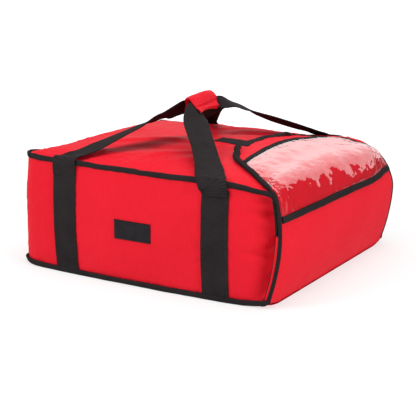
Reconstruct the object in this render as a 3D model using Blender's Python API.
"""Insulated pizza delivery bag, end-loading, with two webbing handles.

Metres, +Z up.  The origin is the centre of the base.  The long front and rear
walls face -Y and +Y, the closed rounded end faces -X, and the mouth with its
padded flap faces +X.  The flap is hinged along the bottom edge of the mouth,
rises over it and folds back over the crowned top.
"""
import bpy
import bmesh
import math
from mathutils import Vector

# ---------------------------------------------------------------- dimensions
LENGTH = 0.525          # closed end to flap, seam to seam
DEPTH = 0.480           # front wall to rear wall
HEIGHT = 0.200          # base to the seam round the top
CORNER_R = 0.040        # plan radius of the two closed-end corners
CROWN = 0.025           # loft of the padded top above its seam
FLAP_CROWN = 0.014      # loft of the padded end of the flap

SKIN = 0.0010           # coated woven skin
PAD = 0.0090            # fibre insulation
LINING = 0.0008         # wipe-clean lining
GAP = 0.0003            # clearance between touching pieces

MOUTH_X = 0.2470        # walls stop here, the mouth tape finishes them
MOUTH_TAPE = 0.0037

STRAP_X = 0.157         # handle webbing, centre lines
STRAP_W = 0.0508        # two-inch webbing
STRAP_T = 0.0018
HINGE_Y = 0.2423        # line on which a handle leaves the wall
HINGE_Z = 0.18715

GRIP_Y0, GRIP_Y1 = -0.066, 0.036
GRIP_TOP, GRIP_LOW = 0.314, 0.283
GRIP_HALF, GRIP_T = 0.024, 0.0047

FLAP_HINGE = (0.2625, 0.0120)       # x, z
FOLD = (0.2630, 0.2045)             # x, z
FLAP_TOP_Z = 0.2035
FLAP_FREE_X = 0.121                 # free end of the flap, over the top
FLAP_FREE_HALF = 0.118
FLAP_FOLD_HALF = 0.2355
WIN_Z = 0.1620                      # lower edge of the clear window, on the end
WIN_X = 0.1590                      # its upper edge, on the top

HX, HY = LENGTH / 2, DEPTH / 2
WALL = SKIN + PAD + LINING + 2 * GAP

# ---------------------------------------------------------------- clean start
for old in list(bpy.data.objects):
    bpy.data.objects.remove(old, do_unlink=True)

bag = bpy.data.collections.new("pizza_delivery_bag")
bpy.context.scene.collection.children.link(bag)


def material(name, colour, roughness, metallic=0.0, alpha=1.0):
    mat = bpy.data.materials.new(name)
    mat.use_nodes = True
    shader = mat.node_tree.nodes["Principled BSDF"]
    shader.inputs["Base Color"].default_value = (*colour, 1.0)
    shader.inputs["Roughness"].default_value = roughness
    shader.inputs["Metallic"].default_value = metallic
    shader.inputs["Alpha"].default_value = alpha
    return mat


RED = (0.80, 0.016, 0.030)
BLACK = (0.020, 0.019, 0.020)
FOAM = (0.78, 0.78, 0.74)
DARK = (0.045, 0.045, 0.050)


# ---------------------------------------------------------------- helpers
def flat_face(outline):
    """A filled 2D curve, returned as a bmesh with one flat face facing +Z."""
    curve = bpy.data.curves.new("outline", 'CURVE')
    curve.dimensions = '2D'
    curve.fill_mode = 'BOTH'
    spline = curve.splines.new('POLY')
    spline.points.add(len(outline) - 1)
    for point, (x, y) in zip(spline.points, outline):
        point.co = (x, y, 0.0, 1.0)
    spline.use_cyclic_u = True
    guide = bpy.data.objects.new("outline", curve)
    bpy.context.scene.collection.objects.link(guide)
    graph = bpy.context.evaluated_depsgraph_get()
    mesh = bpy.data.meshes.new_from_object(guide.evaluated_get(graph), depsgraph=graph)
    bm = bmesh.new()
    bm.from_mesh(mesh)
    bpy.data.objects.remove(guide, do_unlink=True)
    bpy.data.curves.remove(curve)
    bpy.data.meshes.remove(mesh)
    bmesh.ops.remove_doubles(bm, verts=bm.verts[:], dist=1e-6)
    bmesh.ops.dissolve_faces(bm, faces=bm.faces[:], use_verts=False)
    bm.normal_update()
    for face in bm.faces:
        if face.normal.z < 0:
            face.normal_flip()
    return bm


def finish(bm, name, colour, roughness, alpha=1.0):
    bmesh.ops.recalc_face_normals(bm, faces=bm.faces[:])
    if bm.calc_volume(signed=True) < 0:
        bmesh.ops.reverse_faces(bm, faces=bm.faces[:])
    mesh = bpy.data.meshes.new(name)
    bm.to_mesh(mesh)
    bm.free()
    mesh.shade_smooth()
    mesh.set_sharp_from_angle(angle=math.radians(35))
    piece = bpy.data.objects.new(name, mesh)
    piece.data.materials.append(material(name, colour, roughness, alpha=alpha))
    bag.objects.link(piece)
    return piece


def set_origin(piece, point):
    """Move the piece's origin onto its joint's axis, leaving the shape in place."""
    point = Vector(point)
    for vert in piece.data.vertices:
        vert.co -= point
    piece.location = point


def as_function(value):
    return value if callable(value) else (lambda x, y: value)


def layer(name, outline, top, bottom, colour, roughness,
          cuts_x=(), cuts_y=(), warp=None, alpha=1.0):
    """A flat outline, cut into cells, extruded between two height functions."""
    bm = flat_face(outline)
    for values, axis in ((cuts_x, 0), (cuts_y, 1)):
        for value in values:
            co, no = [0.0, 0.0, 0.0], [0.0, 0.0, 0.0]
            co[axis], no[axis] = value, 1.0
            bmesh.ops.bisect_plane(bm, geom=bm.verts[:] + bm.edges[:] + bm.faces[:],
                                   dist=1e-7, plane_co=co, plane_no=no)
    # the same diagonal in every layer, so stacked layers keep their gap
    if cuts_x or cuts_y:
        for face in list(bm.faces):
            if len(face.verts) == 4:
                ends = sorted(face.verts, key=lambda v: v.co.x + v.co.y)
                if not any(ends[-1] in edge.verts for edge in ends[0].link_edges):
                    bmesh.utils.face_split(face, ends[0], ends[-1])
        bmesh.ops.triangulate(bm, faces=[f for f in bm.faces if len(f.verts) > 3])
    low = as_function(bottom)
    high = as_function(top)
    raised = bmesh.ops.extrude_face_region(bm, geom=bm.faces[:])["geom"]
    raised = {v for v in raised if isinstance(v, bmesh.types.BMVert)}
    for vert in bm.verts:
        level = high if vert in raised else low
        vert.co.z = level(vert.co.x, vert.co.y)
    if warp:
        for vert in bm.verts:
            vert.co = Vector(warp(*vert.co))
    return finish(bm, name, colour, roughness, alpha)


def sweep(name, section, stations, colour, roughness):
    """A closed section carried along stations (origin, first axis, second axis)."""
    bm = bmesh.new()
    rings = []
    for origin, first, second in stations:
        rings.append([bm.verts.new(Vector(origin) + Vector(first) * a + Vector(second) * b)
                      for a, b in section])
    for ring, following in zip(rings, rings[1:]):
        for i in range(len(section)):
            j = (i + 1) % len(section)
            bm.faces.new((ring[i], ring[j], following[j], following[i]))
    bm.faces.new(rings[0])
    bm.faces.new(list(reversed(rings[-1])))
    return finish(bm, name, colour, roughness)


def box(name, low, high, colour, roughness, bevel=0.0, alpha=1.0):
    bm = bmesh.new()
    bmesh.ops.create_cube(bm, size=1.0)
    size = [b - a for a, b in zip(low, high)]
    middle = [(a + b) / 2 for a, b in zip(low, high)]
    bmesh.ops.scale(bm, vec=size, verts=bm.verts[:])
    bmesh.ops.translate(bm, vec=middle, verts=bm.verts[:])
    if bevel:
        bmesh.ops.bevel(bm, geom=bm.edges[:], offset=bevel, segments=2, affect='EDGES')
    return finish(bm, name, colour, roughness, alpha)


def steps(low, high, count):
    return [low + (high - low) * i / count for i in range(1, count)]


def rounded(corners, segments=5, spacing=None):
    """Outline through (x, y, radius) corners, each filleted by its radius."""
    points = []
    n = len(corners)
    for i, (x, y, radius) in enumerate(corners):
        here = Vector((x, y))
        back = (Vector(corners[i - 1][:2]) - here)
        ahead = (Vector(corners[(i + 1) % n][:2]) - here)
        if radius <= 0:
            points.append(here)
            continue
        back.normalize()
        ahead.normalize()
        half = back.angle(ahead) / 2
        reach = radius / math.tan(half)
        centre = here + (back + ahead).normalized() * (radius / math.sin(half))
        start, end = here + back * reach, here + ahead * reach
        a0 = math.atan2(*(start - centre).yx)
        a1 = math.atan2(*(end - centre).yx)
        while a1 - a0 > math.pi:
            a1 -= 2 * math.pi
        while a0 - a1 > math.pi:
            a1 += 2 * math.pi
        for k in range(segments + 1):
            a = a0 + (a1 - a0) * k / segments
            points.append(centre + Vector((math.cos(a), math.sin(a))) * radius)
    if spacing:
        dense = []
        for i, here in enumerate(points):
            nxt = points[(i + 1) % len(points)]
            parts = max(1, round((nxt - here).length / spacing))
            dense += [here.lerp(nxt, k / parts) for k in range(parts)]
        points = dense
    return [(p.x, p.y) for p in points]


def wall_path(inset, x_end, segments=8):
    """Plan line of the front, closed-end and rear walls, inset from the skin."""
    radius = CORNER_R - inset
    y, x = HY - inset, -HX + inset
    points = [(x_end, -y)]
    cx, cy = x + radius, y - radius
    for k in range(segments + 1):
        a = math.radians(270 - 90 * k / segments)
        points.append((cx + radius * math.cos(a), -cy + radius * math.sin(a)))
    for k in range(segments + 1):
        a = math.radians(180 - 90 * k / segments)
        points.append((cx + radius * math.cos(a), cy + radius * math.sin(a)))
    points.append((x_end, y))
    return points


def wall_ring(outer, inner, x_end):
    """Closed outline of a U-shaped wall between two insets."""
    return wall_path(outer, x_end) + list(reversed(wall_path(inner, x_end)))


def plan(inset, x_end):
    """Closed outline of a bottom or top layer, square at the mouth."""
    return wall_path(inset, x_end)


def tape_stations(inset, z, x_end):
    """Stations along a seam round the three walls; first axis points outward."""
    path = [Vector((x, y, z)) for x, y in wall_path(inset, x_end)]
    stations = []
    for i, here in enumerate(path):
        before = path[max(i - 1, 0)]
        after = path[min(i + 1, len(path) - 1)]
        along = (after - before).normalized()
        outward = along.cross(Vector((0, 0, 1)))
        # the path runs front, closed end, rear: outward is on its left in plan
        stations.append((here, -outward if outward.dot(here) < 0 else outward, Vector((0, 0, 1))))
    return stations


def pill(width, height, cut):
    """Section of a bound seam: a flat strip with its corners taken off."""
    w, h = width / 2, height / 2
    return [(-w, -h + cut), (-w + cut, -h), (w - cut, -h), (w, -h + cut),
            (w, h - cut), (w - cut, h), (-w + cut, h), (-w, h - cut)]


# ---------------------------------------------------------------- crown of the top
def crown(x, y):
    """Height of the padded top above its seam."""
    inset = 0.0045
    x0, x1 = -HX + inset, MOUTH_X
    u = (x - (x0 + x1) / 2) / ((x1 - x0) / 2)
    v = y / (HY - inset)
    return CROWN * max(0.0, 1 - u * u) ** 0.7 * max(0.0, 1 - v * v) ** 0.7


grid_x = [-0.2519, -0.236, -0.215, -0.18, -0.13, -0.065, 0.0, 0.065, 0.125, 0.17, 0.205, 0.23]
grid_y = [-0.2292, -0.215, -0.19, -0.145, -0.09, -0.03, 0.03, 0.09, 0.145, 0.19, 0.215, 0.2292]

# ---------------------------------------------------------------- base
layer("bottom_panel", plan(0.0, HX), SKIN, 0.0, RED, 0.55)
layer("bottom_insulation", plan(WALL - LINING - GAP + 0.0003, HX - GAP), SKIN + GAP + PAD, SKIN + GAP, FOAM, 0.9)
layer("bottom_lining", plan(WALL - LINING, HX - GAP), WALL, WALL - LINING, DARK, 0.4)

# ---------------------------------------------------------------- side walls
WALL_LOW, WALL_HIGH = SKIN + GAP, 0.1937
layer("side_band", wall_ring(0.0, SKIN, MOUTH_X), WALL_HIGH, WALL_LOW, RED, 0.55)
pad_out, pad_in = SKIN + GAP, SKIN + GAP + PAD
for name, sign in (("front_insulation", -1), ("rear_insulation", 1)):
    y0, y1 = sorted((sign * (HY - pad_out), sign * (HY - pad_in)))
    box(name, (-HX + CORNER_R + GAP, y0, WALL_LOW), (MOUTH_X, y1, WALL_HIGH), FOAM, 0.9)
ring = wall_ring(pad_out, pad_in, -HX + CORNER_R)
layer("closed_end_insulation", ring, WALL_HIGH, WALL_LOW, FOAM, 0.9)
layer("side_lining", wall_ring(WALL - LINING, WALL, MOUTH_X), 0.1883, WALL + GAP, DARK, 0.4)

# ---------------------------------------------------------------- top
top_out = lambda x, y: HEIGHT + crown(x, y)
layer("top_panel", plan(0.0045, MOUTH_X), top_out, lambda x, y: top_out(x, y) - SKIN,
      RED, 0.55, grid_x, grid_y)
layer("top_insulation", plan(0.0108, MOUTH_X), lambda x, y: top_out(x, y) - SKIN - 0.0014,
      0.1897, FOAM, 0.9, grid_x, grid_y)
layer("top_lining", plan(0.0108, MOUTH_X), 0.1894, 0.1886, DARK, 0.4)

# ---------------------------------------------------------------- bound seams
sweep("top_binding", pill(0.005, 0.010, 0.0015), tape_stations(0.0015, 0.199, MOUTH_X), BLACK, 0.8)
sweep("bottom_binding", pill(0.003, 0.010, 0.001), tape_stations(-0.0018, 0.0058, 0.2615), BLACK, 0.8)
ring = [(-HY, 0.0120), (-HY, 0.204), (HY, 0.204), (HY, 0.0120),
        (HY - WALL, 0.0120), (HY - WALL, 0.1886), (-HY + WALL, 0.1886), (-HY + WALL, 0.0120)]
layer("mouth_binding", ring, MOUTH_X + GAP + MOUTH_TAPE, MOUTH_X + GAP, BLACK, 0.8,
      warp=lambda a, b, c: (c, a, b))

# ---------------------------------------------------------------- sewn straps, label, tape
for side, sign in (("front", -1), ("rear", 1)):
    for hand, sx in (("left", -1), ("right", 1)):
        y0, y1 = sorted((sign * (HY + GAP), sign * (HY + GAP + STRAP_T)))
        box(f"{side}_strap_{hand}", (sx * STRAP_X - STRAP_W / 2, y0, 0.0112),
            (sx * STRAP_X + STRAP_W / 2, y1, 0.1857), BLACK, 0.85)
box("label_patch", (-0.0496, -HY - GAP - 0.0012, 0.0770), (0.0275, -HY - GAP, 0.1105), BLACK, 0.6)
layer("top_loop_tape", [(0.028, -0.024), (0.185, -0.024), (0.185, 0.014), (0.028, 0.014)],
      lambda x, y: top_out(x, y) + 0.0014, lambda x, y: top_out(x, y) + 0.0004,
      BLACK, 0.95, grid_x, grid_y)

# ---------------------------------------------------------------- flap, end segment
def end_crown(y, z):
    v = y / 0.2350
    w = (z - (0.0120 + FLAP_TOP_Z) / 2) / ((FLAP_TOP_Z - 0.0120) / 2)
    return FLAP_CROWN * max(0.0, 1 - v * v) ** 0.7 * max(0.0, 1 - w * w) ** 0.7


FL0 = MOUTH_X + GAP + MOUTH_TAPE + 0.0005       # inner face of the flap
end_z0 = 0.0123
end_outline = [(-0.2347, end_z0), (0.2347, end_z0), (0.2347, FLAP_TOP_Z), (-0.2347, FLAP_TOP_Z)]
end_cy = [-0.226, -0.20, -0.15, -0.09, -0.03, 0.03, 0.09, 0.15, 0.20, 0.226]
end_cz = [0.020, 0.035, 0.06, 0.09, 0.12, WIN_Z - 0.012, WIN_Z, 0.176, 0.192]
turn = lambda a, b, c: (c, a, b)                # local x, y, height -> world y, z, x
PANEL0 = FL0 + LINING + GAP + PAD + GAP
layer("flap_end_lining", end_outline, FL0 + LINING, FL0, DARK, 0.4, warp=turn)
layer("flap_end_insulation", end_outline, lambda a, b: PANEL0 - GAP + end_crown(a, b),
      FL0 + LINING + GAP, FOAM, 0.9, end_cy, end_cz, turn)
layer("flap_end_panel", end_outline, lambda a, b: PANEL0 + SKIN + end_crown(a, b),
      lambda a, b: PANEL0 + end_crown(a, b), RED, 0.55, end_cy, end_cz, turn)
face = PANEL0 + SKIN + GAP
layer("window_lower", [(-0.2347, WIN_Z + 0.0003), (0.2347, WIN_Z + 0.0003), (0.2347, FLAP_TOP_Z), (-0.2347, FLAP_TOP_Z)],
      lambda a, b: face + 0.0006 + end_crown(a, b), lambda a, b: face + end_crown(a, b),
      (0.9, 0.9, 0.9), 0.05, end_cy, end_cz, turn, alpha=0.35)
layer("window_bottom_binding", [(-0.2347, WIN_Z - 0.012), (0.2347, WIN_Z - 0.012), (0.2347, WIN_Z), (-0.2347, WIN_Z)],
      lambda a, b: face + 0.0015 + end_crown(a, b), lambda a, b: face + end_crown(a, b),
      BLACK, 0.8, end_cy, end_cz, turn)
for name, sign in (("flap_binding_front", -1), ("flap_binding_rear", 1)):
    y0, y1 = sorted((sign * 0.2350, sign * 0.2403))
    box(name, (FL0, y0, end_z0), (face + 0.0012, y1, FLAP_TOP_Z), BLACK, 0.8, bevel=0.0008)

# fabric wings that close the lower corners, sewn to the flap and tucked inside
wing = [(FL0 - GAP, 0.0126), (FL0 - GAP, 0.116), (0.235, 0.110), (0.205, 0.0126)]
for name, sign in (("gusset_wing_front", -1), ("gusset_wing_rear", 1)):
    y0, y1 = sorted((sign * 0.2283, sign * 0.2275))
    layer(name, wing, y1, y0, RED, 0.55, warp=lambda a, b, c: (a, c, b))

# ---------------------------------------------------------------- flap, top segment
def lay(x, y):
    """Underside of the flap where it lies over the top."""
    h = crown(min(x, MOUTH_X), y)
    return HEIGHT + h + 0.0034 + 0.0024 * max(0.0, 1 - h / 0.006)


FT_LIN, FT_PAD, FT_SKIN = 0.0007, 0.0040, 0.0010
top_corners = [(0.2627, -FLAP_FOLD_HALF, 0), (0.2627, FLAP_FOLD_HALF, 0),
               (FLAP_FREE_X, FLAP_FREE_HALF, 0.024), (FLAP_FREE_X - 0.011, 0.010, 0.300),
               (FLAP_FREE_X, -FLAP_FREE_HALF, 0.024)]
top_outline = rounded(top_corners, 4, 0.030)
flap_gx = [0.135, 0.155, 0.18, 0.205, 0.225, 0.24, 0.252]
flap_gy = [-0.2, -0.16, -0.118, -0.085, -0.05, -0.019, 0.019, 0.05, 0.085, 0.118, 0.16, 0.2]


def flap_layer(name, low, high, colour, roughness, outline=top_outline, alpha=1.0,
               gx=flap_gx, gy=flap_gy):
    return layer(name, outline, lambda x, y: lay(x, y) + high, lambda x, y: lay(x, y) + low,
                 colour, roughness, gx, gy, alpha=alpha)


lin1 = FT_LIN
pad0, pad1 = lin1 + GAP, lin1 + GAP + FT_PAD
skin0, skin1 = pad1 + GAP, pad1 + GAP + FT_SKIN
flap_layer("flap_top_lining", 0.0, lin1, DARK, 0.4)
flap_layer("flap_top_insulation", pad0, pad1, FOAM, 0.9)
flap_layer("flap_top_panel", skin0, skin1, RED, 0.55)
win0 = skin1 + 0.0005


def side_y(x, inset=0.0):
    """Half-width of the flap's top segment at x."""
    t = (0.2627 - x) / (0.2627 - FLAP_FREE_X)
    return FLAP_FOLD_HALF + (FLAP_FREE_HALF - FLAP_FOLD_HALF) * t - inset


win_outline = [(0.2627, -side_y(0.2627, 0.001)), (0.2627, side_y(0.2627, 0.001)),
               (WIN_X, side_y(WIN_X, 0.001)), (WIN_X, -side_y(WIN_X, 0.001))]
flap_layer("window_upper", win0, win0 + 0.0006, (0.9, 0.9, 0.9), 0.05, win_outline, 0.35,
           gx=flap_gx[2:])
tape_outline = [(WIN_X - 0.0005, -side_y(WIN_X, 0.001)), (WIN_X - 0.0005, side_y(WIN_X, 0.001)),
                (WIN_X - 0.0095, side_y(WIN_X - 0.0095, 0.001)), (WIN_X - 0.0095, -side_y(WIN_X - 0.0095, 0.001))]
flap_layer("window_top_binding", win0, win0 + 0.0013, BLACK, 0.8, tape_outline, gx=[0.155])

path = [Vector((x, y, 0)) for x, y in top_outline]
start = min(range(len(path)), key=lambda i: (path[i] - Vector((0.2627, FLAP_FOLD_HALF, 0))).length)
path = path[start:] + path[:start]
stop = min(range(len(path)), key=lambda i: (path[i] - Vector((0.2627, -FLAP_FOLD_HALF, 0))).length)
path = path[:stop + 1]
stations = []
for i, here in enumerate(path):
    along = (path[min(i + 1, len(path) - 1)] - path[max(i - 1, 0)]).normalized()
    outward = Vector((-along.y, along.x, 0)) if Vector((-along.y, along.x, 0)).dot(here - Vector((0.2, 0, 0))) > 0 \
        else Vector((along.y, -along.x, 0))
    if i in (0, len(path) - 1):         # square the ends off at the fold line
        outward = Vector((0, outward.y, 0)) / max(abs(outward.y), 1e-6) / max(abs(outward.y), 0.6)
    stations.append((Vector((here.x, here.y, lay(here.x, here.y) + (win0 + 0.0008) / 2)),
                     outward, Vector((0, 0, 1))))
half = (win0 + 0.0008) / 2
section = [(0.0006, -half), (0.0046, -half), (0.0054, -half + 0.0012),
           (0.0054, half - 0.0012), (0.0046, half), (0.0006, half)]
sweep("flap_top_binding", section, stations, BLACK, 0.8)
flap_layer("flap_hook_tape", -0.0015, -0.0005, BLACK, 0.95,
           [(0.128, -0.024), (0.178, -0.024), (0.178, 0.014), (0.128, 0.014)], gx=[0.135, 0.155])

# ---------------------------------------------------------------- handles
def strap_profile(slope_deg, run, flat, radius=0.014, up=0.016, radius2=0.020):
    """Side view of a handle: up the wall, over the seam, up a slope, then level."""
    slope = math.radians(slope_deg)
    first = radius * (math.pi / 2 - slope)
    second = radius2 * slope

    def at(v):
        p, z, heading = 0.0, min(v, up), math.pi / 2
        if v > up:
            s = min(v - up, first)
            a = s / radius
            p += radius * (1 - math.cos(a))
            z += radius * math.sin(a)
            heading -= a
        if v > up + first:
            s = min(v - up - first, run)
            p += s * math.cos(slope)
            z += s * math.sin(slope)
        if v > up + first + run:
            s = min(v - up - first - run, second)
            a = s / radius2
            p += radius2 * (math.sin(slope) - math.sin(slope - a))
            z += radius2 * (math.cos(slope - a) - math.cos(slope))
            heading -= a
        if v > up + first + run + second:
            p += v - up - first - run - second
            heading = 0.0
        return p, z, heading

    marks = [up + first * k / 4 for k in range(5)]
    marks += [up + first + run + second * k / 2 for k in range(3)]
    return at, marks, up + first + run + second + flat


def handle(name, sign, slope_deg, run, flat, pinch0, pinch1, reach):
    at, marks, total = strap_profile(slope_deg, run, flat)
    along = Vector((0.012 - STRAP_X, reach - 0.012)).normalized()
    across = Vector((along.y, -along.x))
    root = Vector((STRAP_X, 0.012))
    outer, inner = root + across * STRAP_W / 2, root - across * STRAP_W / 2

    def on(line, u=None, v=None):
        t = (u - line.x) / along.x if u is not None else (v - line.y) / along.y
        return (line + along * t)

    x0, x1 = STRAP_X - STRAP_W / 2, STRAP_X + STRAP_W / 2
    elbow = on(outer, u=x1)
    heel = on(inner, u=x0)
    wide = on(outer, v=pinch0)
    crotch = on(inner, u=0.0)
    half_w = 0.017
    right = [(x0, 0.0), (x1, 0.0), (elbow.x, elbow.y), (wide.x, wide.y), (half_w, pinch1), (half_w, total)]
    left = [(-x, y) for x, y in reversed(right)]
    outline = right + left + [(-heel.x, heel.y), (crotch.x, crotch.y), (heel.x, heel.y)]

    def warp(u, v, w):
        p, z, heading = at(v)
        return (u, sign * (HINGE_Y - p) + sign * math.sin(heading) * w,
                HINGE_Z + 0.00015 + z + math.cos(heading) * w)

    piece = layer(name, outline, 0.0010, -0.0010, BLACK, 0.85, (), marks, warp)
    set_origin(piece, (0, sign * HINGE_Y, HINGE_Z))
    return piece


handle("front_handle", -1, 26.8, 0.1936, 0.014, 0.200, 0.2165, 0.215)
handle("rear_handle", 1, 23.2, 0.2152, 0.030, 0.227, 0.2435, 0.238)

# ---------------------------------------------------------------- grip wrap
across = lambda a, b, c: (a, c, b)              # local x, z, length -> world
g, t, top, low = GRIP_HALF, GRIP_T, GRIP_TOP, GRIP_LOW
pad_outline = [(-g, low), (-g, top - 0.006), (-g + 0.0018, top - 0.0018), (-g + 0.006, top),
               (g - t - 0.0003, top), (g - t - 0.0003, top - 0.0045), (-g + t, top - 0.0045), (-g + t, low)]
piece = layer("grip_pad", pad_outline, GRIP_Y1, GRIP_Y0, RED, 0.6, warp=across)
set_origin(piece, (0, HINGE_Y, HINGE_Z))
flap_outline = [(g - t, low), (g, low), (g, top - 0.005), (g - 0.0015, top - 0.0015), (g - t, top)]
piece = layer("grip_flap", flap_outline, GRIP_Y1, GRIP_Y0, RED, 0.6, warp=across)
set_origin(piece, (g - t, 0, top))
piece = box("grip_hook_tape", (g - t - 0.0013, GRIP_Y0 + 0.010, low + 0.002),
            (g - t - 0.0003, GRIP_Y1 - 0.010, low + 0.016), BLACK, 0.95)
set_origin(piece, (g - t, 0, top))
piece = box("grip_loop_tape", (-g + t + 0.0003, GRIP_Y0 + 0.010, low + 0.002),
            (-g + t + 0.0013, GRIP_Y1 - 0.010, low + 0.016), BLACK, 0.95)
set_origin(piece, (0, HINGE_Y, HINGE_Z))

# ---------------------------------------------------------------- origins on the joint axes
for name in ("flap_end_lining", "flap_end_insulation", "flap_end_panel", "window_lower",
             "window_bottom_binding", "flap_binding_front", "flap_binding_rear",
             "gusset_wing_front", "gusset_wing_rear"):
    set_origin(bpy.data.objects[name], (FLAP_HINGE[0], 0, FLAP_HINGE[1]))
for name in ("flap_top_lining", "flap_top_insulation", "flap_top_panel", "window_upper",
             "window_top_binding", "flap_top_binding", "flap_hook_tape"):
    set_origin(bpy.data.objects[name], (FOLD[0], 0, FOLD[1]))
